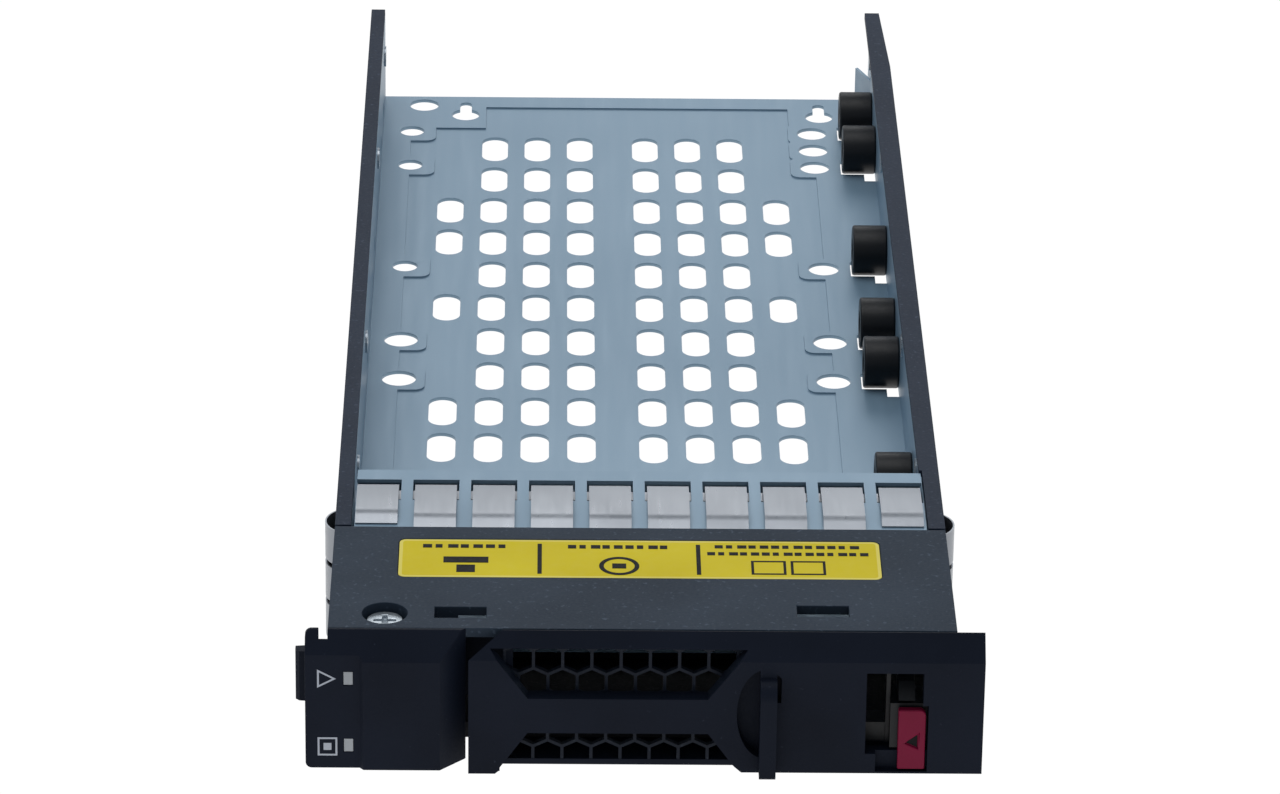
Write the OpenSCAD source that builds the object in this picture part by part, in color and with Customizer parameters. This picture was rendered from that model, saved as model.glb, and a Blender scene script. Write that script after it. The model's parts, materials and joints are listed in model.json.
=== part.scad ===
// Hot-swap carrier for a 2.5-inch drive: sheet-metal tray, plastic rails, latching front lever.
// X is across the carrier, Y runs from the front face to the rear, Z is up.
// Designed with X = 0 on the drive's centreline, Y = 0 on the front face and Z = 0 just above the
// lever's lower edge. The last module moves the whole to the centre of its base.

/* [Carrier] */
// Length from the front face to the rear edge of the tray
carrier_len = 212.2; // [208:0.1:225]
// Height of the bezel, the cover and the rails
carrier_h = 18.3; // [18:0.1:20]
// Outer face of the left rail
rail_left_x = -37.4; // [-38:0.1:-37]
// Outer face of the right rail
rail_right_x = 42.2; // [42:0.1:43]
// Height of the top face of the tray floor
floor_z = 3.5; // [3.2:0.1:4]

/* [Tray sheet] */
// Thickness of the tray's sheet metal
sheet_t = 0.5; // [0.4:0.1:0.8]
// Inner face of the left wall
wall_left_x = -35.3; // [-35.6:0.1:-35]
// Inner face of the right wall
wall_right_x = 40.0; // [39.8:0.1:40.4]
// Depth of the pressed dish in the floor
dish_depth = 0.25; // [0.2:0.05:0.45]
// Width of an air slot
slot_w = 3.95; // [3:0.05:5]
// Length of an air slot
slot_len = 9.2; // [7:0.1:10]
// Pitch of the air slots across the floor
slot_pitch_x = 6.5; // [6:0.1:7.5]
// Pitch of the air slots along the floor
slot_pitch_y = 11.71; // [11:0.01:12]
// Distance from the front face to the first row of air slots
slot_first_y = 86.7; // [80:0.1:88]

/* [Drive fixing] */
// Spacing of a 2.5-inch drive's screws along its side
drive_screw_pitch = 76.6; // [76:0.1:77]
// Height of a drive's side screws above the tray floor
drive_screw_z = 3.05; // [3:0.05:3.1]
// Half the distance between a drive's bottom screws
drive_screw_x = 30.86; // [30.5:0.01:31]
// Radius of the M3 clearance bores
screw_bore_r = 1.6; // [1.55:0.05:1.8]
// Diameter of a side spacer
spacer_d = 7.4; // [7:0.1:7.8]
// Length of a side spacer
spacer_len = 5.0; // [4.9:0.05:5.05]

/* [Front] */
// Rear edge of the top cover
cover_rear_y = 31.8; // [30.5:0.1:32]
// Depth of the bevel along the top of the bezel
bevel = 2.6; // [2.2:0.1:2.8]
// Height of the bevel along the top of the bezel
bevel_rise = 3.0; // [2.6:0.1:3.2]
// Left end of the lever
lever_left_x = -19.6; // [-19.8:0.1:-19.4]
// Right end of the lever
lever_right_x = 45.7; // [45:0.1:46.5]
// Pitch of the hexagons in the vent
hex_pitch = 3.7; // [3.4:0.05:4]
// Rib between two hexagons in the vent
hex_rib = 0.4; // [0.4:0.05:0.7]
// Pitch of the shielding fingers
finger_pitch = 7.64; // [7.6:0.01:7.66]
// Width of one shielding finger
finger_w = 5.5; // [5:0.1:6]

/* [Lever pivot] */
// Lever pivot, across
pivot_x = -24.0; // [-24.2:0.1:-23.8]
// Lever pivot, from the front face
pivot_y = 9.6; // [9.5:0.1:9.8]
// Radius of the pivot pin
pivot_r = 1.5; // [1.4:0.05:1.6]

/* [Hidden] */
$fn = 48;
eps = 0.02;

// Fit left between a piece and the opening that holds it
fit = 0.1;
// The whole carrier's centre, to put the base's middle on the origin
foot_tip_x = -41.7;
fin_proud = 2.3;
mid_x = (foot_tip_x + lever_right_x) / 2;
mid_y = (carrier_len - fin_proud) / 2;
low_z = -0.9;

// Tray
floor_under = floor_z - sheet_t;
wall_left_out = wall_left_x - sheet_t;
wall_right_out = wall_right_x + sheet_t;
tray_front_y = 26;
wall_left_top = carrier_h - 0.8;
wall_right_top = carrier_h - 1.0;
// Distances of the drive's front and rear screws from the front face, for the three positions
drive_rear_y = [198.4, 185.2, 147.5];
side_screw_y = concat(drive_rear_y, [for (y = drive_rear_y) y - drive_screw_pitch]);
side_screw_z = floor_z + drive_screw_z;
// Rows that carry a fourth pair of air slots, counted from the front
wide_rows = [0, 1, 4, 6, 7];
small_hole_r = 1.85;
mid_hole_r = 2.25;
large_hole_r = 2.45;
keyhole_y = 205.0;
keyhole_x = [-22.67, 32.21];
keyhole_r = 2.14;
keyhole_slot = 1.8;
locating_hole = [-29.16, 208.75];
dish_half_w = 31.0;
dish_rear_y = 208.1;
dish_step_y = 199.8;
dish_step_x = -19.5;
dish_right_x = 27.4;
dish_right_y = 190;
lobe_half = 3.7;
lobe_r = 1.5;
extra_hole_y = 191.85;

// Bulkhead and shelf
bulkhead_y = 49.2;
shelf_top = floor_z + 14.5;
shelf_left = -34.9;
shelf_right = 39.8;
shelf_front = 32.0;
window_front = 40.3;
window_rear = 46.3;
finger_left = -34.8;
finger_rear = 43.9;
finger_front = 31.8;
finger_ridge = 2.2;
finger_rise = 1.1;
finger_n = 10;
finger_t = 0.2;

// Front housing
cover_t = 1.3;
cover_under = carrier_h - cover_t;
cover_front_y = 3.1;
house_bottom = 0.6;
house_floor_t = 1.4;
house_wall = 1.6;
bezel_edge_z = carrier_h - bevel_rise;
front_bottom = -0.5;
flange_bottom = -0.7;
plate_t = 2.3;
grille_t = 0.8;
label_x = [-28.85, 33.3];
label_y = [17.5, 28.2];
label_r = 0.9;
cover_screw_pos = [-30.3, 7.2];
bezel_left_x = -40.25;
bezel_right_x = -23.2;
bezel_toe_x = -19.95;
bezel_y = 0.4;
badge_y = -0.2;
badge_left_x = -32.9;
bezel_rear_y = 3.1;
bezel_bottom = -0.4;
lens_x = -34.78;
lens_w = 1.15;
lens_z = [12.4, 2.85];
guide_z = [15.3, 2.85];
guide_t = 1.1;
guide_rail_x = -36.6;
guide_jog_y = 24.3;

// Lever
arm_z = [5.8, 14.1];
arm_left_top = 11.0;
foot_top = 12.9;
lever_rear_y = 8.2;
lever_top = 16.7;
flange_t = 0.8;
lever_back_left = -15.3;
sill_z = [5.0, 9.9];
window_top = 16.5;
slot_x = [30.75, 38.0];
slot_z = [2.3, 13.8];
latch_travel = 2.5;
latch_x = [34.9, 38.4];
button_way = [32.1, 38.7];
hook_tip_x = 44.4;

// ---------- small helpers ----------

// Box from its lowest and highest corners
module span(lo, hi) {
    translate(lo) cube(hi - lo);
}

// Slot with round ends, drawn flat, long way along Y
module obround(w, l) {
    square([w, l - w], center = true);
    for (s = [-1, 1]) translate([0, s * (l - w) / 2]) circle(d = w);
}

// Rectangle with round corners, drawn flat, from its lowest and highest corners
module round_plate(lo, hi, r) {
    translate([lo[0] + r, lo[1]]) square([hi[0] - lo[0] - 2 * r, hi[1] - lo[1]]);
    translate([lo[0], lo[1] + r]) square([hi[0] - lo[0], hi[1] - lo[1] - 2 * r]);
    for (x = [lo[0] + r, hi[0] - r], y = [lo[1] + r, hi[1] - r]) translate([x, y]) circle(r);
}

// Cylinder along X from x0 to x1
module rod_x(r, x0, x1, y, z) {
    translate([x0, y, z]) rotate([0, 90, 0]) cylinder(r = r, h = x1 - x0);
}

// Solid made from a side outline (Y, Z), run along X from x0 to x1
module run_x(x0, x1) {
    translate([x0, 0, 0]) rotate([90, 0, 90]) linear_extrude(x1 - x0) children();
}

// Front outline (X, Z), run along Y from y0 to y1
module run_y(y0, y1) {
    translate([0, y1, 0]) rotate([90, 0, 0]) linear_extrude(y1 - y0) children();
}

// Tall six-sided cell with a corner at the top, drawn flat, one rib narrower than its pitch
module cell() {
    half_w = (hex_pitch - hex_rib) / 2;
    slope = 2 * hex_peak / hex_pitch;
    top = hex_side / 2 + hex_peak - hex_rib / 2 * sqrt(1 + slope * slope);
    side = top - half_w * slope;
    polygon([[0, top], [-half_w, side], [-half_w, -side], [0, -top], [half_w, -side],
        [half_w, side]]);
}

// ---------- tray ----------

module floor_outline() {
    translate([wall_left_out, tray_front_y])
        square([wall_right_out - wall_left_out, carrier_len - tray_front_y]);
}

// Lower, pressed part of the floor, kept off the screw holes and the left keyhole
module dish_outline() {
    difference() {
        translate([-dish_half_w, bulkhead_y + 8])
            square([2 * dish_half_w, dish_rear_y - bulkhead_y - 8]);
        translate([-dish_half_w - 1, dish_step_y])
            square([dish_step_x + dish_half_w + 1, dish_rear_y]);
        translate([dish_right_x, dish_right_y]) square([dish_half_w, dish_rear_y]);
        for (y = side_screw_y, s = [-1, 1]) translate([s * drive_screw_x, y])
            round_plate([-lobe_half, -lobe_half], [lobe_half, lobe_half], lobe_r);
        translate([drive_screw_x, extra_hole_y])
            round_plate([-lobe_half, -lobe_half], [lobe_half, lobe_half], lobe_r);
    }
}

module air_slots() {
    for (row = [0:9], col = [0:3], s = [-1, 1])
        if (col < 3 || len(search(row, wide_rows)) > 0)
            translate([s * (5 + col * slot_pitch_x), slot_first_y + row * slot_pitch_y])
                obround(slot_w, slot_len);
}

module base_holes() {
    for (i = [0:2]) {
        translate([-drive_screw_x, side_screw_y[i]]) circle(small_hole_r);
        translate([drive_screw_x, side_screw_y[i]]) circle(mid_hole_r);
        for (s = [-1, 1])
            translate([s * drive_screw_x, side_screw_y[i + 3]]) circle(large_hole_r);
    }
    translate([drive_screw_x, extra_hole_y]) circle(mid_hole_r);
    translate(locating_hole) circle(mid_hole_r);
    for (x = keyhole_x) {
        translate([x, keyhole_y]) circle(keyhole_r);
        translate([x - keyhole_slot / 2, keyhole_y]) square([keyhole_slot, 4]);
        translate([x, keyhole_y + 4]) circle(keyhole_slot / 2);
    }
}

// Openings in the bend under each side spacer
module spacer_openings() {
    for (y = side_screw_y) {
        translate([34.8, y - 2.5]) square([wall_right_out - 34.8, 5]);
        translate([38.3, y - 5]) square([wall_right_out - 38.3 - sheet_t, 10]);
    }
}

module tray_pan() color("#87a0b2") {
    difference() {
        union() {
            translate([0, 0, floor_under]) linear_extrude(sheet_t) difference() {
                floor_outline();
                dish_outline();
                base_holes();
                spacer_openings();
            }
            translate([0, 0, floor_under - dish_depth]) linear_extrude(sheet_t) difference() {
                dish_outline();
                air_slots();
                base_holes();
            }
            span([wall_left_out, tray_front_y, floor_under],
                 [wall_left_x, carrier_len, wall_left_top]);
            span([wall_right_x, tray_front_y, floor_under],
                 [wall_right_out, carrier_len, wall_right_top]);
            // Lead-in tab at the rear of the right wall
            linear_extrude_z(floor_z, floor_z + 6.4)
                polygon([[wall_right_x + 0.2, 203.8], [wall_right_x - 2.1, 209.7],
                    [wall_right_x - 1.7, 209.9], [wall_right_x + 0.2, 205]]);
        }
        // Walls lowered to pass under the cover
        span([wall_left_out - 1, tray_front_y - 1, cover_under - 0.1],
             [wall_right_out + 1, cover_rear_y + 0.2, carrier_h + 1]);
        for (y = side_screw_y) {
            rod_x(screw_bore_r, wall_left_out - 1, wall_left_x + 1, y, side_screw_z);
            rod_x(screw_bore_r, wall_right_x - 1, wall_right_out + 1, y, side_screw_z);
        }
        for (y = rivet_y) {
            rod_x(rivet_r, wall_left_out - 1, wall_left_x + 1, y, rivet_z);
            rod_x(rivet_r, wall_right_x - 1, wall_right_out + 1, y, rivet_z);
        }
    }
}

// Riser behind the front housing, with the shelf that carries the shielding fingers
module front_bulkhead() color("#8fa6b6") {
    difference() {
        union() {
            span([shelf_left, bulkhead_y - sheet_t, floor_z], [shelf_right, bulkhead_y, shelf_top]);
            span([shelf_left, shelf_front, shelf_top - sheet_t],
                 [shelf_right, bulkhead_y, shelf_top]);
            span([shelf_left, bulkhead_y - 8, floor_z],
                 [shelf_right, bulkhead_y, floor_z + sheet_t]);
        }
        for (i = [0:finger_n - 1]) {
            x = finger_left + i * finger_pitch;
            span([x - 0.3, window_front, shelf_top - 1], [x + finger_w + 0.3, window_rear, carrier_h]);
        }
        run_y(bulkhead_y - 1, bulkhead_y + 1)
            for (col = [0:13], row = [0:1])
                translate([-32 + col * 5.3, 7.2 + row * 5.3]) obround(3.6, 4.4);
    }
}

rivet_r = 1.0;
rivet_z = 13.2;
rivet_y = [60, 100, 165, 205];

module rail_rivets() color("#c5cace") {
    for (y = rivet_y) {
        rod_x(rivet_r, rail_left_x + 0.5, wall_left_x + 0.3, y, rivet_z);
        rod_x(rivet_r + 0.6, wall_left_x, wall_left_x + 0.3, y, rivet_z);
        rod_x(rivet_r, wall_right_x - 0.3, rail_right_x - 0.5, y, rivet_z);
        rod_x(rivet_r + 0.6, wall_right_x - 0.3, wall_right_x, y, rivet_z);
    }
}

rail_bottom = 1.2;
rail_front = 32.2;
rail_rear = carrier_len - 0.5;
head_r = 3.3;
taper_y = 190;
rail_taper = 0.8;

lip_left_x = -35.3;
lip_right_x = 39.6;

module rail_left() color("#363f4b") difference() {
    union() {
        span([rail_left_x, rail_front, rail_bottom], [wall_left_out, rail_rear, carrier_h]);
        // Lip over the wall's top edge
        span([rail_left_x, rail_front, wall_left_top], [lip_left_x, rail_rear, carrier_h]);
    }
    for (y = side_screw_y) rod_x(head_r, rail_left_x - 1, wall_left_out + 1, y, side_screw_z);
    for (y = rivet_y) rod_x(rivet_r, rail_left_x + 0.5, wall_left_out + 1, y, rivet_z);
    spring_seat(rail_left_x);
    guide_grooves();
}

module rail_right() color("#363f4b") difference() {
    union() {
        linear_extrude_z(rail_bottom, carrier_h) polygon([[wall_right_out, rail_front],
            [rail_right_x, rail_front], [rail_right_x, taper_y],
            [rail_right_x - rail_taper, rail_rear], [wall_right_out, rail_rear]]);
        // Lip over the wall's top edge, wider behind the bulkhead
        linear_extrude_z(wall_right_top, carrier_h) polygon([[wall_right_x, rail_front],
            [wall_right_out + 0.1, rail_front], [wall_right_out + 0.1, rail_rear],
            [lip_right_x - 0.4, rail_rear], [lip_right_x, bulkhead_y + 0.3],
            [wall_right_x, bulkhead_y + 0.3]]);
    }
    for (y = side_screw_y) rod_x(head_r, wall_right_out - 1, rail_right_x + 1, y, side_screw_z);
    for (y = rivet_y) rod_x(rivet_r, wall_right_out - 1, rail_right_x - 0.5, y, rivet_z);
    spring_seat(rail_right_x);
}

module linear_extrude_z(z0, z1) {
    translate([0, 0, z0]) linear_extrude(z1 - z0) children();
}

module spacer(i) color("#15181d") difference() {
    rod_x(spacer_d / 2, wall_right_x - spacer_len, wall_right_x, side_screw_y[i], side_screw_z);
    rod_x(screw_bore_r, wall_right_x - spacer_len - 1, wall_right_x + 1, side_screw_y[i],
          side_screw_z);
}

module spacer_1() { spacer(0); }
module spacer_2() { spacer(1); }
module spacer_3() { spacer(2); }
module spacer_4() { spacer(3); }
module spacer_5() { spacer(4); }
module spacer_6() { spacer(5); }

// ---------- shielding ----------

// Side outline of one finger: a leg up through the shelf, then a shallow hump over it
module finger_outline(front) {
    polygon([[finger_rear + 0.6, shelf_top - sheet_t - 0.4], [finger_rear + 0.6, shelf_top + 0.15],
        [finger_rear, shelf_top + 0.35], [front + finger_ridge, shelf_top + finger_rise],
        [front, shelf_top + 0.2], [front, shelf_top],
        [front + finger_ridge, shelf_top + finger_rise - finger_t],
        [finger_rear - 0.2, shelf_top + 0.1],
        [finger_rear + 0.3, shelf_top - 0.1], [finger_rear + 0.3, shelf_top - sheet_t - 0.4]]);
}

module shield_fingers() color("#b4b8bb") {
    span([finger_left, window_front + 0.4, shelf_top - sheet_t - 0.4],
         [finger_left + 9 * finger_pitch + finger_w, finger_rear + 0.6, shelf_top - sheet_t - 0.15]);
    for (i = [0:finger_n - 1]) {
        x = finger_left + i * finger_pitch;
        run_x(x, x + finger_w) finger_outline(i == 0 || i == finger_n - 1 ? 33.0 : finger_front + 0.1);
    }
}

arch_y = 35.4;
arch_half = 3.0;
arch_rise = 1.4;
arch_r = (arch_half * arch_half + arch_rise * arch_rise) / (2 * arch_rise);
arch_pitch = 5.7;
arch_h = 5.0;
spring_plate_t = 0.2;

// Three arched leaves on one strip, bulging towards -X from the plane x = 0
module side_spring() {
    for (i = [0:2]) linear_extrude_z(0.9 + i * arch_pitch, 0.9 + i * arch_pitch + arch_h)
        difference() {
            translate([arch_r - arch_rise, arch_y]) circle(arch_r);
            translate([arch_r - arch_rise, arch_y]) circle(arch_r - spring_plate_t);
            translate([0, arch_y - 5]) square([10, 10]);
        }
    span([0, arch_y - arch_half - 0.2, 0.9], [spring_plate_t, arch_y + arch_half + 0.8, 17.3]);
}

module shield_spring_left() color("#b4b8bb") {
    translate([rail_left_x, 0, 0]) side_spring();
}

module shield_spring_right() color("#b4b8bb") {
    translate([rail_right_x, 0, 0]) mirror([1, 0, 0]) side_spring();
}

// Shallow seat for a side spring in the outer face x of a rail
module spring_seat(x) {
    span([x - spring_plate_t, arch_y - arch_half - 0.3, 0],
         [x + spring_plate_t, arch_y + arch_half + 0.9, carrier_h - 0.6]);
}

// ---------- light guides ----------

// Box round the middle of a guide, from one corner of its route to the next
module guide_leg(x0, x1, y0, y1, z0, z1, grow) {
    h = guide_t / 2 + grow;
    span([x0 - h, y0 - grow, z0 - h], [x1 + h, y1 + grow, z1 + h]);
}

// Square guide from a lens in the bezel, back beside the lever's arm and along the left rail
module guide(i, grow) {
    z = lens_z[i];
    run_z = guide_z[i];
    drop_y = bezel_rear_y + 0.4;
    span([lens_x - lens_w / 2 - grow, bezel_y + 0.1, z - 0.9 - grow],
         [lens_x + lens_w / 2 + grow, drop_y + guide_t, z + 0.9 + grow]);
    guide_leg(lens_x, lens_x, drop_y, drop_y + guide_t, min(z, run_z), max(z, run_z), grow);
    guide_leg(lens_x, lens_x, drop_y, guide_jog_y + guide_t, run_z, run_z, grow);
    guide_leg(guide_rail_x, lens_x, guide_jog_y, guide_jog_y + guide_t, run_z, run_z, grow);
    guide_leg(guide_rail_x, guide_rail_x, guide_jog_y, rail_rear, run_z, run_z, grow);
}

// Room for both guides in the pieces that they cross
module guide_grooves() {
    for (i = [0, 1]) guide(i, fit / 2);
    // A lens shows at the front, and the groove in the rail is open to the outside
    for (z = lens_z)
        span([lens_x - lens_w / 2 - fit / 2, bezel_y - 1, z - 0.9 - fit / 2],
             [lens_x + lens_w / 2 + fit / 2, bezel_y + 1, z + 0.9 + fit / 2]);
    for (z = guide_z)
        span([rail_left_x - 1, guide_jog_y - fit / 2, z - guide_t / 2 - fit / 2],
             [guide_rail_x, rail_rear + 1, z + guide_t / 2 + fit / 2]);
}

module light_guide_upper() color("#b9c0c6") guide(0, 0);
module light_guide_lower() color("#b9c0c6") guide(1, 0);

// ---------- front housing ----------

foot_slot_y = [4.5, 24];
boss_r = 3.0;
right_wall_front = 12.0;
house_rear = rail_front - 0.1;
tongue_x = [-33.6, -27.7];
tongue_z = [12.0, 14.4];
tongue_rear = 11;
screw_r = 1.0;

module lower_housing() color("#2b323c") difference() {
    union() {
        span([rail_left_x, bezel_rear_y, house_bottom],
             [lever_left_x - 1.8, house_rear, house_bottom + house_floor_t]);
        span([rail_left_x, lever_rear_y + 0.3, house_bottom],
             [rail_right_x, house_rear, house_bottom + house_floor_t]);
        // Lower front edge, just behind the lever's flange
        span([lever_left_x - 1.8, lever_rear_y + 0.3, -0.2],
             [rail_right_x, lever_rear_y + 1.8, house_bottom + house_floor_t]);
        // Step that the tray's floor is fixed on
        span([rail_left_x, tray_front_y + 0.4, house_bottom],
             [rail_right_x, house_rear, floor_under]);
        span([rail_left_x, bezel_rear_y, house_bottom],
             [rail_left_x + house_wall, house_rear, cover_under]);
        span([wall_right_out + fit / 2, right_wall_front, house_bottom],
             [rail_right_x, house_rear, cover_under]);
        translate([pivot_x, pivot_y, house_bottom])
            cylinder(r = boss_r, h = arm_z[0] - 0.3 - house_bottom);
    }
    // Way for the lever's foot
    span([rail_left_x - 1, foot_slot_y[0], arm_z[0] - 0.5],
         [rail_left_x + house_wall + 1, foot_slot_y[1], arm_z[1] + 0.6]);
    translate([pivot_x, pivot_y, house_bottom + 0.6]) cylinder(r = pivot_r + eps, h = 20);
    guide_grooves();
}

module top_cover() color("#3a444f") difference() {
    union() {
        span([rail_left_x, cover_front_y, cover_under], [rail_right_x, cover_rear_y, carrier_h]);
        translate([pivot_x, pivot_y, arm_z[1] + 0.3])
            cylinder(r = boss_r, h = cover_under - arm_z[1]);
        translate([cover_screw_pos[0], cover_screw_pos[1], tongue_z[1]])
            cylinder(r = 3.4, h = cover_under - tongue_z[1] + 0.5);
    }
    linear_extrude_z(carrier_h - 0.3, carrier_h + 1)
        round_plate([label_x[0] - fit, label_y[0] - fit], [label_x[1] + fit, label_y[1] + fit],
                    label_r + fit);
    translate([cover_screw_pos[0], cover_screw_pos[1], carrier_h - 2.3]) cylinder(r = 2.9, h = 3);
    translate([cover_screw_pos[0], cover_screw_pos[1], tongue_z[0]]) cylinder(r = 1.2, h = 8);
    translate([pivot_x, pivot_y, tongue_z[0]]) cylinder(r = pivot_r + eps, h = lever_top - tongue_z[0]);
    // Windows over the two snap tabs
    span([-24.0, 6.0, cover_under - 1], [-17.4, 9.05, carrier_h + 1]);
    span([22.05, 6.9, cover_under - 1], [28.7, 9.95, carrier_h + 1]);
}

module cover_screw() color("#b0b3b1") {
    translate([cover_screw_pos[0], cover_screw_pos[1], tongue_z[0] + 0.2])
        cylinder(r = screw_r, h = carrier_h - 2.2 - tongue_z[0]);
    difference() {
        translate([cover_screw_pos[0], cover_screw_pos[1], carrier_h - 2.3])
            cylinder(r = 2.32, h = 1.3);
        translate([cover_screw_pos[0], cover_screw_pos[1], carrier_h - 1.6])
            for (a = [0, 90]) rotate(a) translate([-1.4, -0.3, 0]) cube([2.8, 0.6, 2]);
    }
}

module label_plate() color("#c8b937") {
    linear_extrude_z(carrier_h - 0.3, carrier_h - 0.08)
        round_plate([label_x[0], label_y[0]], [label_x[1], label_y[1]], label_r);
}

// Front outline of the block, with its outer corners rounded
module block_outline() {
    r = 0.8;
    translate([bezel_left_x, bezel_bottom + r])
        square([bezel_toe_x - bezel_left_x, carrier_h - bezel_bottom - 2 * r]);
    translate([bezel_left_x + r, bezel_bottom])
        square([bezel_toe_x - bezel_left_x - r, carrier_h - bezel_bottom]);
    for (z = [bezel_bottom + r, carrier_h - r]) translate([bezel_left_x + r, z]) circle(r);
}

// Fixed block at the left of the front, with the two lenses
module led_bezel() color("#20252d") difference() {
    union() {
        intersection() {
            linear_extrude_z(bezel_bottom, carrier_h) polygon([[bezel_left_x, bezel_y],
                [badge_left_x - 0.5, bezel_y], [badge_left_x, badge_y], [bezel_right_x, badge_y],
                [bezel_toe_x, bezel_rear_y], [bezel_left_x, bezel_rear_y]]);
            run_x(bezel_left_x - 1, bezel_toe_x + 1) polygon([[badge_y, bezel_bottom],
                [bezel_rear_y, bezel_bottom], [bezel_rear_y, carrier_h], [bevel, carrier_h],
                [badge_y, carrier_h - (bevel - badge_y) * bevel_rise / bevel]]);
            run_y(badge_y - 1, bezel_rear_y + 1) block_outline();
        }
        span([tongue_x[0], bezel_rear_y - 1, tongue_z[0]],
             [tongue_x[1], tongue_rear, tongue_z[1]]);
    }
    // Notch beside the left rail's front corner
    span([-38.55, 1.8, bezel_bottom - 1], [rail_left_x, bezel_rear_y + 1, carrier_h + 1]);
    translate([cover_screw_pos[0], cover_screw_pos[1], tongue_z[0] - 1])
        cylinder(r = screw_r + eps, h = 5);
    guide_grooves();
}

module pivot_pin() color("#b0b3b1") {
    translate([pivot_x, pivot_y, house_bottom + 0.7])
        cylinder(r = pivot_r, h = lever_top - house_bottom - 0.8);
}

// ---------- lever and latch ----------

fin_x = [17.3, 19.4];
fin_z = [-0.4, 10.6];
fin_round = 2.4;
scoop_mid = [17.9, 7.9];
scoop_half = [3.5, 6.3];
scoop_depth = 1.7;
web_t = 1.3;
spring_web_x = 22.6;

// Side outline of the lever's front plate, bevelled at the top
module plate_outline() {
    polygon([[0, front_bottom], [plate_t, front_bottom], [plate_t, cover_under],
        [bevel + 0.2, cover_under], [bevel + 0.2, carrier_h], [bevel, carrier_h],
        [0, bezel_edge_z]]);
}

// Side outline of the grip fin, rounded at the top
module fin_outline() {
    polygon(concat([[plate_t, fin_z[0]], [plate_t, fin_z[1] + fin_round], [0, fin_z[1] + fin_round]],
        [for (a = [80:-10:0]) [-fin_proud * cos(a), fin_z[1] + fin_round * sin(a)]],
        [[-fin_proud, fin_z[0] + 0.3], [-fin_proud + 0.3, fin_z[0]]]));
}

module ellipse_outline(mid, half) {
    polygon([for (a = [0:7.5:352.5]) [mid[0] + half[0] * cos(a), mid[1] + half[1] * sin(a)]]);
}

// Plan of the arm, from the front plate back to the pivot and out to the foot
module arm_plan() {
    translate([pivot_x, pivot_y]) circle(boss_r);
    polygon([[pivot_x, pivot_y - 0.9], [lever_back_left, pivot_y - 0.9],
        [lever_back_left, lever_rear_y - 1], [lever_back_left + web_t, lever_rear_y - 1],
        [lever_back_left + web_t, pivot_y + 2.4], [pivot_x, pivot_y + 2.4]]);
}

module foot_plan() {
    polygon([[pivot_x, pivot_y - 2.4], [foot_tip_x + 2.4, pivot_y - 2.9],
        [foot_tip_x + 0.5, pivot_y - 2.7], [foot_tip_x, pivot_y - 2.2],
        [foot_tip_x, pivot_y - 1.2], [foot_tip_x + 2.6, pivot_y - 0.9],
        [pivot_x, pivot_y + 2.4]]);
}

module lever() color("#181c23") difference() {
    union() {
        difference() {
            run_x(lever_left_x, lever_right_x) plate_outline();
            // Slanted left end
            linear_extrude_z(front_bottom - 1, carrier_h + 1) polygon([[lever_left_x - 0.1, 0],
                [lever_left_x, 0], [lever_back_left, bevel], [lever_back_left, 4],
                [lever_left_x - 0.1, 4]]);
        }
        // Foot under the left end
        intersection() {
            run_y(0, plate_t) polygon([[lever_left_x, front_bottom + 1], [lever_left_x, low_z],
                [-16.2, low_z], [-14.6, front_bottom + 1]]);
            linear_extrude_z(low_z, 1) polygon([[lever_left_x, 0], [lever_back_left, bevel],
                [-14, bevel], [-14, 0]]);
        }
        span([lever_back_left, plate_t - 0.1, lever_top - flange_t],
             [41.7, lever_rear_y, lever_top]);
        span([lever_back_left, plate_t - 0.1, flange_bottom],
             [41.7, lever_rear_y, flange_bottom + flange_t]);
        for (x = [lever_back_left, 15.6, spring_web_x])
            span([x, plate_t + (x < 0 ? 1 : -0.1), flange_bottom],
                 [x + web_t, lever_rear_y, lever_top]);
        run_x(fin_x[0], fin_x[1]) fin_outline();
        linear_extrude_z(arm_z[0], arm_z[1]) arm_plan();
        linear_extrude_z(arm_z[0], arm_left_top) foot_plan();
        linear_extrude_z(arm_z[0], foot_top) intersection() {
            foot_plan();
            translate([foot_tip_x, 0]) square([3.2, 20]);
        }
    }
    // Two windows in front of the vent
    run_y(-3, plate_t + 0.01) {
        polygon([[-16.9, window_top], [15.7, window_top], [10.7, sill_z[1]], [-12.1, sill_z[1]]]);
        polygon([[-12.1, sill_z[0]], [10.8, sill_z[0]], [14.1, 0.4], [15.2, front_bottom - 0.1],
            [15.2, low_z - 1], [-15.6, low_z - 1], [-15.6, 0]]);
    }
    // Finger scoop round the fin
    difference() {
        run_y(-3, scoop_depth) ellipse_outline(scoop_mid, scoop_half);
        span([fin_x[0], -3, -1], [fin_x[1], 3, carrier_h]);
        span([fin_x[1] - 0.1, -3, -1], [30, 3, 9.5]);
        span([fin_x[1] + 0.6, -3, -1], [30, 3, carrier_h]);
    }
    // Latch opening, and the recess that the lower part of the button slides in
    run_y(-3, plate_t + 0.3) {
        translate([slot_x[0], slot_z[0]]) square([slot_x[1] - slot_x[0], slot_z[1] - slot_z[0]]);
        translate([button_way[0], slot_z[0]]) square([button_way[1] - button_way[0], 6.9]);
    }
    span([button_way[0], -3, -0.25], [button_way[1], 1.05, slot_z[0] + 1]);
    translate([pivot_x, pivot_y, 0]) cylinder(r = pivot_r + 0.06, h = 20);
}

hex_side = 2.55;
hex_peak = 0.88;
hex_first = [-16.95, 0.61];

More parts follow.
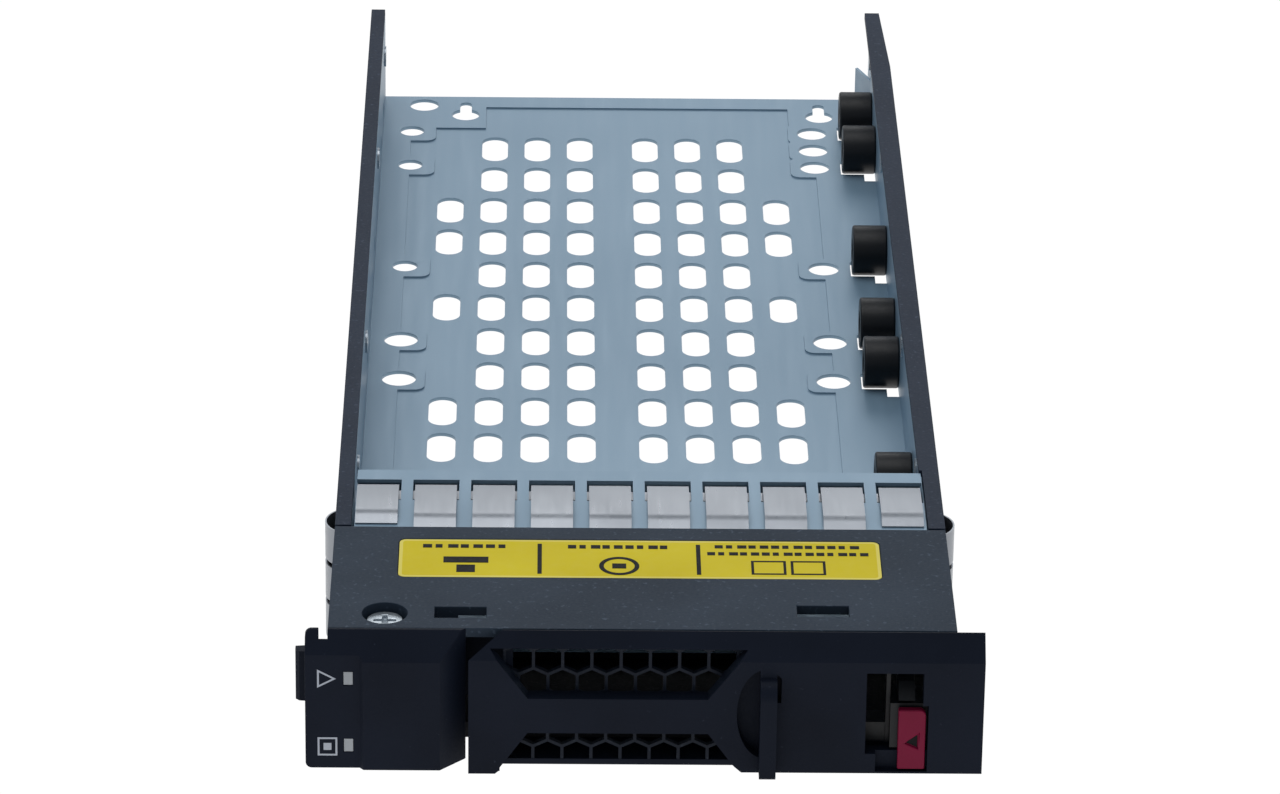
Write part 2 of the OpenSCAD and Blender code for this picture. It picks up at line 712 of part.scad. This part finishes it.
// Honeycomb insert held between the lever's flanges
module vent_grille() color("#1d222a") difference() {
    span([lever_back_left + 0.1, plate_t + 0.05, flange_bottom + flange_t + 0.02],
         [15.5, plate_t + 0.05 + grille_t, lever_top - flange_t - 0.05]);
    run_y(plate_t - 1, plate_t + grille_t + 1)
        for (r = [0:4], c = [0:9])
            translate([hex_first[0] + (c - 0.5 * (r % 2)) * hex_pitch,
                       hex_first[1] + r * (hex_side + hex_peak)]) cell();
}

slider_x = [33.9, 38.2];
ledge_x = 30.5;
ledge_z = [2.6, 5.3];
post_x = [33.4, 33.95];
hook_z = [3.5, 9.5];
hook_rear = 11;
button_rear = 1.2;
button_top = 8.5;
spring_y = 4.5;
spring_z = 4.6;

// Slider behind the button, with its hook out to the right
module latch_slider() color("#14171c") {
    span([slider_x[0], button_rear + 0.05, ledge_z[0]], [slider_x[1], 6.2, 8.95]);
    span([ledge_x, 3.0, ledge_z[0]], [slider_x[0] + 0.1, 6.2, ledge_z[1]]);
    run_x(latch_x[0], latch_x[0] + 2.1)
        polygon([[0.9, 9.5], [2.8, 11.4], [6.2, 11.4], [6.2, 8.9], [2.8, 8.9], [2.8, 9.3]]);
    span([post_x[0], 2.8, ledge_z[0]], [post_x[1], 4.2, 13.0]);
    span([slider_x[1] - 0.1, 3.0, hook_z[0]], [hook_tip_x, 4.6, hook_z[1]]);
    span([hook_tip_x - 1.7, 3.0, hook_z[0]], [hook_tip_x, hook_rear, hook_z[1]]);
}

// Button outline from its lower edge up, rounded at the top right
module button_outline(z0, z1) {
    r = 0.8;
    translate([latch_x[0], z0]) square([latch_x[1] - latch_x[0], z1 - z0 - r]);
    translate([latch_x[0], z0]) square([latch_x[1] - latch_x[0] - r, z1 - z0]);
    translate([latch_x[1] - r, z1 - r]) circle(r);
}

module latch_button() color("#7d1637") difference() {
    union() {
        run_y(0.1, button_rear) button_outline(ledge_z[0], button_top);
        run_y(0.1, 0.75) button_outline(0.05, button_top);
    }
    run_y(-1, 0.5) polygon([[35.75, 3.74], [37.5, 2.9], [37.5, 5.05]]);
}

module latch_spring() color("#b0b3b1") difference() {
    rod_x(1.7, spring_web_x + web_t + 0.05, ledge_x - 0.05, spring_y, spring_z);
    rod_x(1.3, spring_web_x + web_t - 1, ledge_x + 1, spring_y, spring_z);
}

// ---------- placing ----------

// Puts the middle of the carrier's base on the origin
module placed() {
    translate([-mid_x, -mid_y, -low_z]) children();
}

placed() tray_pan();
placed() front_bulkhead();
placed() rail_left();
placed() rail_right();
placed() spacer_1();
placed() spacer_2();
placed() spacer_3();
placed() spacer_4();
placed() spacer_5();
placed() spacer_6();
placed() rail_rivets();
placed() shield_fingers();
placed() shield_spring_left();
placed() shield_spring_right();
placed() lower_housing();
placed() top_cover();
placed() cover_screw();
placed() label_plate();
placed() led_bezel();
placed() light_guide_upper();
placed() light_guide_lower();
placed() pivot_pin();
placed() lever();
placed() vent_grille();
placed() latch_slider();
placed() latch_button();
placed() latch_spring();
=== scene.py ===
import json
import math

import bmesh
import bpy
from mathutils import Matrix, Vector


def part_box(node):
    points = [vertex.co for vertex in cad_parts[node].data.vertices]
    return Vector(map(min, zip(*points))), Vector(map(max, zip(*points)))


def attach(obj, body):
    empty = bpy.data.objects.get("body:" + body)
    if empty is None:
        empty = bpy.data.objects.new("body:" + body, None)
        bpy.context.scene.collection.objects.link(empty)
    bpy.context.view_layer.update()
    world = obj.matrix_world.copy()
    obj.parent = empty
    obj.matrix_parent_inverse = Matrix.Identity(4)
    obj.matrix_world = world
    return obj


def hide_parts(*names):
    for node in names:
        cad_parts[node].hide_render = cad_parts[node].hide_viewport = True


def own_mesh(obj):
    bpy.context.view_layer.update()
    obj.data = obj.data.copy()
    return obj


MM = 0.001
# The two ends of a mask
NONE = (0, 0, 0, 1)
FULL = (1, 1, 1, 1)

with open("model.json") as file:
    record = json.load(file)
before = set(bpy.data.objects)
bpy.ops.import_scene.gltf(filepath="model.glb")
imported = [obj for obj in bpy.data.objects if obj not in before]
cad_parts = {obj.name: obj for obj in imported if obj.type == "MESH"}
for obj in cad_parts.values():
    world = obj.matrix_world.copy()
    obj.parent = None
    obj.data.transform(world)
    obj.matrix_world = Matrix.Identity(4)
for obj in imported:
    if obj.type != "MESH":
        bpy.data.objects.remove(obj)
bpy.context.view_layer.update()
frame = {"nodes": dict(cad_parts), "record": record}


# ---------- stage ----------

# The camera looks at AIM from DISTANCE away, ELEVATION above the horizon
AIM = Vector((1.103, -13.633, 9.9)) * MM
DISTANCE = 903.1 * MM
ELEVATION = math.radians(25.331)
AZIMUTH = math.radians(0.961)
ROLL = math.radians(0.809)
LENS = 182.43
SENSOR_WIDTH = 36
NEAREST = 0.01

SKY = (0.85, 0.92, 1.0, 1)
SKY_STRENGTH = 0.4

# The floor glows, so that it is the same plain white through every hole
FLOOR_Z = -0.0005
FLOOR_REACH = 3.0
FLOOR_GLOW = 1.02


def make_camera():
    forward = Vector((math.sin(AZIMUTH) * math.cos(ELEVATION),
                      math.cos(AZIMUTH) * math.cos(ELEVATION),
                      -math.sin(ELEVATION)))
    level_right = forward.cross(Vector((0, 0, 1))).normalized()
    level_up = level_right.cross(forward)
    right = level_right * math.cos(ROLL) + level_up * math.sin(ROLL)
    up = right.cross(forward)
    data = bpy.data.cameras.new("camera")
    data.lens = LENS
    data.sensor_width = SENSOR_WIDTH
    data.clip_start = NEAREST
    camera = bpy.data.objects.new("camera", data)
    turn = Matrix((right, up, -forward)).transposed().to_4x4()
    camera.matrix_world = Matrix.Translation(AIM - forward * DISTANCE) @ turn
    bpy.context.scene.collection.objects.link(camera)
    bpy.context.scene.camera = camera


def make_light(name, place, size, power):
    """A rectangular lamp that faces the object's middle."""
    data = bpy.data.lights.new(name, "AREA")
    data.shape = "RECTANGLE"
    data.size, data.size_y = size
    data.energy = power
    lamp = bpy.data.objects.new(name, data)
    lamp.location = place
    lamp.rotation_euler = (-Vector(place)).to_track_quat("-Z", "Y").to_euler()
    bpy.context.scene.collection.objects.link(lamp)


def make_stage():
    world = bpy.data.worlds.new("world")
    world.use_nodes = True
    background = world.node_tree.nodes["Background"]
    background.inputs["Color"].default_value = SKY
    background.inputs["Strength"].default_value = SKY_STRENGTH
    bpy.context.scene.world = world
    bpy.context.scene.view_settings.view_transform = "Standard"
    make_light("key", (-0.2, 0.1, 0.9), (0.7, 0.9), 4.0)
    make_light("back", (0.15, 0.9, 0.5), (0.9, 0.4), 1.7)
    material = bpy.data.materials.new("floor_white")
    material.use_nodes = True
    emission = material.node_tree.nodes.new("ShaderNodeEmission")
    emission.inputs["Color"].default_value = FULL
    emission.inputs["Strength"].default_value = FLOOR_GLOW
    output = material.node_tree.nodes["Material Output"]
    material.node_tree.links.new(emission.outputs[0], output.inputs["Surface"])
    mesh = bpy.data.meshes.new("floor")
    corners = [(x * FLOOR_REACH, y * FLOOR_REACH, FLOOR_Z)
               for x, y in ((-1, -1), (1, -1), (1, 1), (-1, 1))]
    mesh.from_pydata(corners, [], [(0, 1, 2, 3)])
    floor = bpy.data.objects.new("floor", mesh)
    floor.data.materials.append(material)
    bpy.context.scene.collection.objects.link(floor)


# ---------- materials ----------

# Features per metre of the plastics' cloudiness, specks and blotches
CLOUDS = 60
SPECKS = 1500
BLOTCHES = 400
# Depth of the fine surface texture
PLASTIC_DEPTH = 0.00006
METAL_DEPTH = 0.00004


def linear(red, green, blue):
    """A colour given in 0 to 255 display values, as the shader wants it."""
    def channel(value):
        value /= 255
        return value / 12.92 if value <= 0.04045 else ((value + 0.055) / 1.055) ** 2.4
    return (channel(red), channel(green), channel(blue), 1)


def noise(tree, scale, stretch=(1, 1, 1), detail=3.0):
    """Noise over the object's own metres, scale in features per metre."""
    place = tree.nodes.new("ShaderNodeTexCoord")
    mapping = tree.nodes.new("ShaderNodeMapping")
    mapping.inputs["Scale"].default_value = stretch
    texture = tree.nodes.new("ShaderNodeTexNoise")
    texture.inputs["Scale"].default_value = scale
    texture.inputs["Detail"].default_value = detail
    tree.links.new(place.outputs["Object"], mapping.inputs["Vector"])
    tree.links.new(mapping.outputs["Vector"], texture.inputs["Vector"])
    return texture.outputs["Fac"]


def ramp(tree, factor, stops):
    """A colour for each value of factor, given as (position, colour) at its two ends."""
    node = tree.nodes.new("ShaderNodeValToRGB")
    for element, (position, colour) in zip(node.color_ramp.elements, stops):
        element.position = position
        element.color = colour
    tree.links.new(factor, node.inputs["Fac"])
    return node.outputs["Color"]


def spread(tree, factor, low, high):
    """Noise, which mostly lies between 0.25 and 0.75, spread over low to high."""
    node = tree.nodes.new("ShaderNodeMapRange")
    node.inputs["From Min"].default_value = 0.25
    node.inputs["From Max"].default_value = 0.75
    node.inputs["To Min"].default_value = low
    node.inputs["To Max"].default_value = high
    tree.links.new(factor, node.inputs["Value"])
    return node.outputs["Result"]


def mixed(tree, factor, a, b, blend="MIX"):
    """Two colours mixed. The node has sockets of every type, so the colour ones are picked."""
    node = tree.nodes.new("ShaderNodeMix")
    node.data_type = "RGBA"
    node.blend_type = blend
    colour_in = [socket for socket in node.inputs if socket.type == "RGBA"]
    tree.links.new(factor, node.inputs[0])
    tree.links.new(a, colour_in[0])
    tree.links.new(b, colour_in[1])
    return next(socket for socket in node.outputs if socket.type == "RGBA")


def finish_bump(tree, shader, factor, strength, distance):
    node = tree.nodes.new("ShaderNodeBump")
    node.inputs["Strength"].default_value = strength
    node.inputs["Distance"].default_value = distance
    tree.links.new(factor, node.inputs["Height"])
    tree.links.new(node.outputs["Normal"], shader.inputs["Normal"])


def moulded(name, dark, light, roughness=(0.42, 0.6), grain=2600, relief=0.25, speckle=0.62,
            specular=0.12):
    """Fine-textured moulded plastic: eroded grain, faint cloudiness and sparse pale specks."""
    material = bpy.data.materials.new(name)
    material.use_nodes = True
    tree = material.node_tree
    shader = tree.nodes["Principled BSDF"]
    shader.inputs["Specular IOR Level"].default_value = specular
    cloud = ramp(tree, noise(tree, CLOUDS, detail=4), [(0.3, dark), (0.7, light)])
    pale = tuple(min(1, channel * 1.9 + 0.02) for channel in light[:3]) + (1,)
    specks = ramp(tree, noise(tree, SPECKS, detail=2), [(speckle, NONE), (speckle + 0.12, FULL)])
    speck_colour = ramp(tree, noise(tree, BLOTCHES), [(0, pale), (1, light)])
    tree.links.new(mixed(tree, specks, cloud, speck_colour), shader.inputs["Base Color"])
    grain_noise = noise(tree, grain, detail=4)
    tree.links.new(spread(tree, grain_noise, *roughness), shader.inputs["Roughness"])
    finish_bump(tree, shader, grain_noise, relief, PLASTIC_DEPTH)
    return material


def metal(name, dark, light, metallic, roughness, grain=(1, 1, 1), grain_scale=900, relief=0.1,
          cloud_scale=18):
    """Sheet metal: soft cloudy tone, rolled grain along one direction and small pits."""
    material = bpy.data.materials.new(name)
    material.use_nodes = True
    tree = material.node_tree
    shader = tree.nodes["Principled BSDF"]
    shader.inputs["Metallic"].default_value = metallic
    cloud = ramp(tree, noise(tree, cloud_scale, detail=2), [(0.25, dark), (0.75, light)])
    rolled = noise(tree, grain_scale, grain, 5)
    streaks = ramp(tree, rolled, [(0.2, (0.86, 0.86, 0.86, 1)), (0.8, FULL)])
    full = ramp(tree, noise(tree, 5), [(0, FULL), (1, (0.97, 0.97, 0.97, 1))])
    mask = ramp(tree, rolled, [(0, NONE), (1, FULL)])
    streaked = mixed(tree, full, streaks, cloud, "MULTIPLY")
    tree.links.new(mixed(tree, mask, cloud, streaked), shader.inputs["Base Color"])
    tree.links.new(spread(tree, rolled, *roughness), shader.inputs["Roughness"])
    finish_bump(tree, shader, rolled, relief, METAL_DEPTH)
    return material


def clear(name):
    material = moulded(name, linear(150, 155, 160), linear(185, 190, 196), (0.12, 0.25),
                       relief=0.08, speckle=0.9, specular=0.6)
    material.node_tree.nodes["Principled BSDF"].inputs["Transmission Weight"].default_value = 0.25
    return material


TRAY = metal("tray_steel", linear(112, 139, 159), linear(132, 158, 177), 0.3, (0.36, 0.46),
             (1, 0.06, 1), 700, 0.03, 12)
SPRING = metal("spring_steel", linear(137, 141, 147), linear(160, 164, 170), 0.75, (0.26, 0.38),
               (1, 0.05, 1), 1500, 0.03, 60)
ZINC = metal("zinc_steel", linear(150, 158, 166), linear(200, 208, 214), 0.85, (0.22, 0.4),
             (1, 1, 1), 2500, 0.12, 500)
COVER = moulded("cover_plastic", linear(40, 50, 62), linear(49, 60, 73), (0.5, 0.65))
RAIL = moulded("rail_plastic", linear(36, 44, 58), linear(43, 52, 67), (0.5, 0.65))
HOUSING = moulded("housing_plastic", linear(9, 11, 15), linear(13, 16, 21), (0.6, 0.75))
BEZEL = moulded("bezel_plastic", linear(16, 21, 32), linear(22, 28, 41), (0.45, 0.6),
                speckle=0.72, specular=0.08)
GRILLE = moulded("grille_plastic", linear(20, 26, 36), linear(27, 33, 44), (0.36, 0.5))
BLACK = moulded("spacer_plastic", linear(10, 12, 15), linear(16, 18, 22), (0.35, 0.5),
                relief=0.1, speckle=0.8, specular=0.3)
MAROON = moulded("button_plastic", linear(104, 5, 40), linear(120, 10, 52), (0.3, 0.42),
                 relief=0.12, speckle=0.8, specular=0.15)
LABEL = moulded("label_film", linear(212, 190, 20), linear(222, 202, 32), (0.45, 0.6), 900, 0.05,
                0.85)
BORDER = moulded("label_border", linear(226, 210, 92), linear(234, 218, 108), (0.45, 0.6), 900,
                 0.05, 0.85)
INK = moulded("label_print", linear(14, 14, 16), linear(24, 24, 26), (0.5, 0.65), 1800, 0.05,
              0.85)
WHITE = moulded("icon_print", linear(150, 156, 168), linear(185, 190, 200), (0.4, 0.55), 1800,
                0.05, 0.8)
CLEAR = clear("clear_plastic")

COATS = {
    "tray_pan": TRAY, "front_bulkhead": TRAY, "rail_left": RAIL, "rail_right": RAIL,
    "rail_rivets": ZINC, "shield_fingers": SPRING, "shield_spring_left": SPRING,
    "shield_spring_right": SPRING, "lower_housing": HOUSING, "top_cover": COVER,
    "cover_screw": ZINC, "label_plate": LABEL, "led_bezel": BEZEL, "light_guide_upper": CLEAR,
    "light_guide_lower": CLEAR, "pivot_pin": ZINC, "lever": BEZEL, "vent_grille": GRILLE,
    "latch_slider": BLACK, "latch_button": MAROON, "latch_spring": ZINC,
}


def body_of(node):
    """The body that carries a CAD node."""
    for body, nodes in frame["record"]["behaviour"]["bodies"].items():
        if node in nodes:
            return body


def add_piece(name, mesh, coat, body, smooth_below=35, weighted=False):
    """A visible piece that rides on a body, shaded smooth below an angle between its faces."""
    piece = bpy.data.objects.new(name, mesh)
    mesh.materials.clear()
    mesh.materials.append(coat)
    for face in mesh.polygons:
        face.use_smooth = True
        face.material_index = 0
    mesh.set_sharp_from_angle(angle=math.radians(smooth_below))
    bpy.context.scene.collection.objects.link(piece)
    if weighted:
        # Flat faces keep their own shading, and only the rounded edges blend
        modifier = piece.modifiers.new("weighted", "WEIGHTED_NORMAL")
        modifier.keep_sharp = True
        modifier.weight = 100
        evaluated = piece.evaluated_get(bpy.context.evaluated_depsgraph_get())
        piece.data = bpy.data.meshes.new_from_object(evaluated)
        piece.modifiers.clear()
    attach(piece, body)
    return piece


def softened(node, width, segments, sharper_than=28):
    """A copy of a CAD node with its edges rounded, which stands for that node."""
    work = bmesh.new()
    work.from_mesh(frame["nodes"][node].data)
    bmesh.ops.remove_doubles(work, verts=work.verts, dist=1e-6)
    bmesh.ops.dissolve_limit(work, angle_limit=math.radians(1), verts=work.verts,
                             edges=work.edges, delimit=set())
    edges = [edge for edge in work.edges if len(edge.link_faces) == 2
             and edge.calc_face_angle(0) > math.radians(sharper_than)]
    bmesh.ops.bevel(work, geom=edges, offset=width, offset_type="OFFSET", segments=segments,
                    profile=0.5, affect="EDGES", clamp_overlap=True)
    mesh = bpy.data.meshes.new(node + "_finished")
    work.to_mesh(mesh)
    work.free()
    piece = add_piece(node + "_finished", mesh, COATS.get(node, BLACK), body_of(node),
                      60, True)
    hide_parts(node)


# ---------- front ----------

# Thickness of a printed mark
PRINT = 0.03 * MM


def prism_mesh(name, ring_pairs):
    """Closed prisms, each between two rings of corners."""
    work = bmesh.new()
    for pair in ring_pairs:
        first, last = [[work.verts.new(corner) for corner in ring] for ring in pair]
        count = len(first)
        for i in range(count):
            j = (i + 1) % count
            work.faces.new((first[i], first[j], last[j], last[i]))
        work.faces.new(first[::-1])
        work.faces.new(last)
    bmesh.ops.recalc_face_normals(work, faces=work.faces)
    mesh = bpy.data.meshes.new(name)
    work.to_mesh(mesh)
    work.free()
    return mesh


def across(outline, low, high):
    """The two rings of a side outline (y, z) that runs from x = low to x = high."""
    return [[(x, y, z) for y, z in outline] for x in (low, high)]


def flat_mesh(name, outlines, low, thickness):
    """Thin printed marks: flat outlines (x, y) with a small thickness, from height low up."""
    return prism_mesh(name, [[[(x, y, z) for x, y in outline] for z in (low, low + thickness)]
                             for outline in outlines])


def stood_up(mesh, front):
    """Marks that were drawn flat, turned up against a front face at y = front."""
    mesh.transform(Matrix.Translation((0, front, 0)) @ Matrix.Rotation(math.radians(90), 4, "X"))
    return mesh


def bar(x0, y0, x1, y1):
    """A rectangle, as an outline."""
    return [(x0, y0), (x1, y0), (x1, y1), (x0, y1)]


def frame_bars(x0, y0, x1, y1, width):
    """Four bars that make a rectangular outline, without overlap."""
    return [bar(x0, y0, x1, y0 + width), bar(x0, y1 - width, x1, y1),
            bar(x0, y0 + width, x0 + width, y1 - width),
            bar(x1 - width, y0 + width, x1, y1 - width)]


def ring(x, y, outer, inner, count=32):
    """A ring as a fan of quadrilaterals."""
    parts = []
    for i in range(count):
        a, b = (2 * math.pi * k / count for k in (i, i + 1))
        parts.append([(x + inner * math.cos(a), y + inner * math.sin(a)),
                      (x + outer * math.cos(a), y + outer * math.sin(a)),
                      (x + outer * math.cos(b), y + outer * math.sin(b)),
                      (x + inner * math.cos(b), y + inner * math.sin(b))])
    return parts


def dashes(x0, x1, y, height, count):
    """A row of short bars in place of a line of writing."""
    pitch = (x1 - x0) / count
    widths = (0.72, 0.55, 0.82, 0.64, 0.76)
    return [bar(x0 + i * pitch, y, x0 + (i + widths[i % len(widths)]) * pitch, y + height)
            for i in range(count)]


def make_label():
    """The label's printed marks and its paler border."""
    low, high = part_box("label_plate")
    top = high.z
    width = high.x - low.x
    depth = high.y - low.y
    marks = []
    # Two dividers between three fields
    for share in (0.292, 0.622):
        x = low.x + share * width
        marks.append(bar(x - 0.28 * MM, low.y + 0.1 * depth, x + 0.28 * MM, high.y - 0.1 * depth))
    left, middle, right = (low.x + share * width for share in (0.139, 0.457, 0.808))
    y = low.y + 0.3 * depth
    line = high.y - 0.22 * depth
    # Each row of dashes: field's middle, reach to its left and right, rise, height and count
    for middle_x, before, after, rise, height, count in (
            (left, 5.6, 5.8, 0, 1.0, 7), (middle, 6.6, 6.8, 0, 1.0, 9),
            (right, 9.4, 9.6, 0.3, 0.9, 13), (right, 10.4, 10.8, -1.7, 0.9, 15)):
        marks += dashes(middle_x - before * MM, middle_x + after * MM, line + rise * MM,
                        height * MM, count)
    # Left field: a solid bar with a block under it; middle: a ring; right: two panels
    marks += [bar(left - 2.9 * MM, y + 0.9 * MM, left + 2.9 * MM, y + 2.6 * MM),
              bar(left - 1.2 * MM, y - 1.8 * MM, left + 1.2 * MM, y + 0.3 * MM)]
    marks += ring(middle, y + 0.2 * MM, 2.6 * MM, 2.0 * MM)
    marks += [bar(middle - 0.9 * MM, y - 0.5 * MM, middle + 0.9 * MM, y + 0.9 * MM)]
    for near, far in ((-4.8, -0.3), (0.3, 4.8)):
        marks += frame_bars(right + near * MM, y - 2.0 * MM, right + far * MM, y + 1.9 * MM,
                            0.35 * MM)
    add_piece("label_marks", flat_mesh("label_marks", marks, top, PRINT), INK, "carrier")
    edge = 0.45 * MM
    inset = 0.9 * MM
    border = [bar(low.x + inset, low.y, high.x - inset, low.y + edge),
              bar(low.x + inset, high.y - edge, high.x - inset, high.y),
              bar(low.x, low.y + inset, low.x + edge, high.y - inset),
              bar(high.x - edge, low.y + inset, high.x, high.y - inset)]
    # The border's rounded corners, each an arc of short steps
    arc_steps = 6
    arc_step = 90 / arc_steps
    for x, y, start in ((low.x + inset, low.y + inset, 180), (high.x - inset, low.y + inset, 270),
                        (high.x - inset, high.y - inset, 0), (low.x + inset, high.y - inset, 90)):
        for step in range(arc_steps):
            a, b = (math.radians(start + arc_step * k) for k in (step, step + 1))
            border.append([(x + r * math.cos(t), y + r * math.sin(t))
                           for t, r in ((a, inset - edge), (a, inset), (b, inset),
                                        (b, inset - edge))])
    add_piece("label_border", flat_mesh("label_border", border, top, PRINT / 2), BORDER,
              "carrier")


def make_icons():
    """A plain triangle and a plain square beside the lenses, printed on the block's front."""
    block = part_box("led_bezel")[0]
    front = block.y + 0.6 * MM
    x0, x1 = block.x + 1.55 * MM, block.x + 3.95 * MM
    upper, lower = block.z + 12.8 * MM, block.z + 3.1 * MM
    width = 0.24 * MM
    half = 1.3 * MM
    outlines = []
    corners = [(x0, upper + half), (x0, upper - half), (x1, upper)]
    middle = (sum(x for x, z in corners) / 3, sum(z for x, z in corners) / 3)
    inner = [(middle[0] + (x - middle[0]) * 0.7, middle[1] + (z - middle[1]) * 0.7)
             for x, z in corners]
    for i in range(3):
        j = (i + 1) % 3
        outlines.append([corners[i], corners[j], inner[j], inner[i]])
    outlines += frame_bars(x0, lower - half, x1 + 0.1 * MM, lower + half, width)
    outlines.append(bar(x0 + 0.75 * MM, lower - 0.5 * MM, x1 - 0.65 * MM, lower + 0.5 * MM))
    mesh = stood_up(flat_mesh("status_marks", outlines, 0, PRINT), front)
    add_piece("status_marks", mesh, WHITE, "carrier")


def make_button_mark():
    """A dark arrowhead at the bottom of the recess in the button."""
    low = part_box("latch_button")[0]
    x, z, front = low.x + 0.9 * MM, low.z + 3.69 * MM, low.y + 0.4 * MM
    outline = [(x, z), (x + 1.7 * MM, z - 0.8 * MM), (x + 1.7 * MM, z + 1.25 * MM)]
    mesh = stood_up(flat_mesh("button_mark", [outline], 0, PRINT), front)
    add_piece("button_mark", mesh, INK, "latch")


def bend(a, corner, b, reach, steps=8):
    """Points of a smooth bend at corner, between the directions to a and b."""
    ends = []
    for end in (a, b):
        along = Vector((end[0] - corner[0], end[1] - corner[1])).normalized() * reach
        ends.append((corner[0] + along.x, corner[1] + along.y))
    return [tuple((1 - k) ** 2 * ends[0][i] + 2 * k * (1 - k) * corner[i]
                  + k ** 2 * ends[1][i] for i in (0, 1))
            for k in (step / steps for step in range(steps + 1))]


def thickened(path, thickness):
    """A closed outline around an open path, half the thickness to each side."""
    upper, lower = [], []
    for i, (y, z) in enumerate(path):
        a, b = path[max(0, i - 1)], path[min(len(path) - 1, i + 1)]
        along = Vector((b[0] - a[0], b[1] - a[1])).normalized()
        upper.append((y - along.y * thickness / 2, z + along.x * thickness / 2))
        lower.append((y + along.y * thickness / 2, z - along.x * thickness / 2))
    return upper + lower[::-1]


def make_fingers():
    """Shielding fingers with rounded bends, in place of the CAD node's straight ones."""
    low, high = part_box("shield_fingers")
    count, pitch, width = 10, 7.64 * MM, 5.5 * MM
    sheet = 0.2 * MM
    under = low.z + 0.9 * MM
    ridge_z = high.z - sheet / 2 - 0.05 * MM
    rear = high.y - 0.65 * MM
    back = (rear + 0.25 * MM, under + 0.3 * MM)
    leg = (rear + 0.45 * MM, low.z + 0.1 * MM)

    def profile(front):
        """A long flat back, a rounded ridge and a steep lower band, as a closed outline."""
        ridge = (front + 2.1 * MM, ridge_z)
        foot = (front, under + 0.12 * MM)
        path = [foot] + bend(foot, ridge, back, 0.9 * MM) + bend(ridge, back, leg, 0.25 * MM)
        return thickened(path + [leg], sheet)

    prisms = []
    for i in range(count):
        x = low.x + i * pitch
        # The two outer fingers are shorter
        set_back = 1.1 * MM if i in (0, count - 1) else 0.02 * MM
        prisms.append(across(profile(low.y + set_back), x, x + width))
    # The strip that joins the fingers at the rear
    strip = bar(high.y - 2.6 * MM, low.z, high.y - 0.15 * MM, low.z + 0.22 * MM)
    prisms.append(across(strip, low.x, high.x))
    mesh = prism_mesh("shield_fingers_bent", prisms)
    piece = add_piece("shield_fingers_bent", mesh, SPRING, "carrier", 50)
    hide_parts("shield_fingers")


def make_coil():
    """The latch spring as a wound wire with closed ends."""
    low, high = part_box("latch_spring")
    centre_y, centre_z = (low.y + high.y) / 2, (low.z + high.z) / 2
    wire = 0.16 * MM
    reach = (high.z - low.z) / 2 - wire
    turns, per_turn, sides = 9, 28, 8
    # How far the turns crowd together towards both ends, as a share of the length
    crowding = 0.045
    length = high.x - low.x - 2 * wire
    along = Vector((1, 0, 0))
    work = bmesh.new()
    rings = []
    for step in range(turns * per_turn + 1):
        share = step / (turns * per_turn)
        eased = share - crowding * math.sin(2 * math.pi * share)
        angle = 2 * math.pi * turns * share
        centre = Vector((low.x + wire + length * min(1, max(0, eased)),
                         centre_y + reach * math.cos(angle), centre_z + reach * math.sin(angle)))
        outward = Vector((0, math.cos(angle), math.sin(angle)))
        around = [2 * math.pi * k / sides for k in range(sides)]
        rings.append([work.verts.new(centre + (outward * math.cos(t) + along * math.sin(t)) * wire)
                      for t in around])
    for a, b in zip(rings, rings[1:]):
        for k in range(sides):
            work.faces.new((a[k], a[(k + 1) % sides], b[(k + 1) % sides], b[k]))
    work.faces.new(rings[0][::-1])
    work.faces.new(rings[-1])
    bmesh.ops.recalc_face_normals(work, faces=work.faces)
    mesh = bpy.data.meshes.new("latch_coil")
    work.to_mesh(mesh)
    work.free()
    piece = add_piece("latch_coil", mesh, ZINC, "lever", 60)
    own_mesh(piece)
    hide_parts("latch_spring")


# ---------- making ----------

# Edge radius in millimetres and segments of each rounded piece
ROUNDING = {
    "tray_pan": (0.1, 2), "top_cover": (0.3, 3), "lever": (0.18, 2), "led_bezel": (0.22, 2),
    "latch_button": (0.2, 3), "rail_left": (0.25, 2), "rail_right": (0.25, 2),
    "cover_screw": (0.12, 2), "latch_slider": (0.15, 2),
}

for name, node in frame["nodes"].items():
    node.data.materials.clear()
    node.data.materials.append(COATS.get(name, BLACK))

make_stage()
make_camera()
for name, (radius, segments) in ROUNDING.items():
    softened(name, radius * MM, segments)
for number in range(1, 7):
    softened("spacer_%d" % number, 0.3 * MM, 3)
make_label()
make_icons()
make_button_mark()
make_fingers()
make_coil()
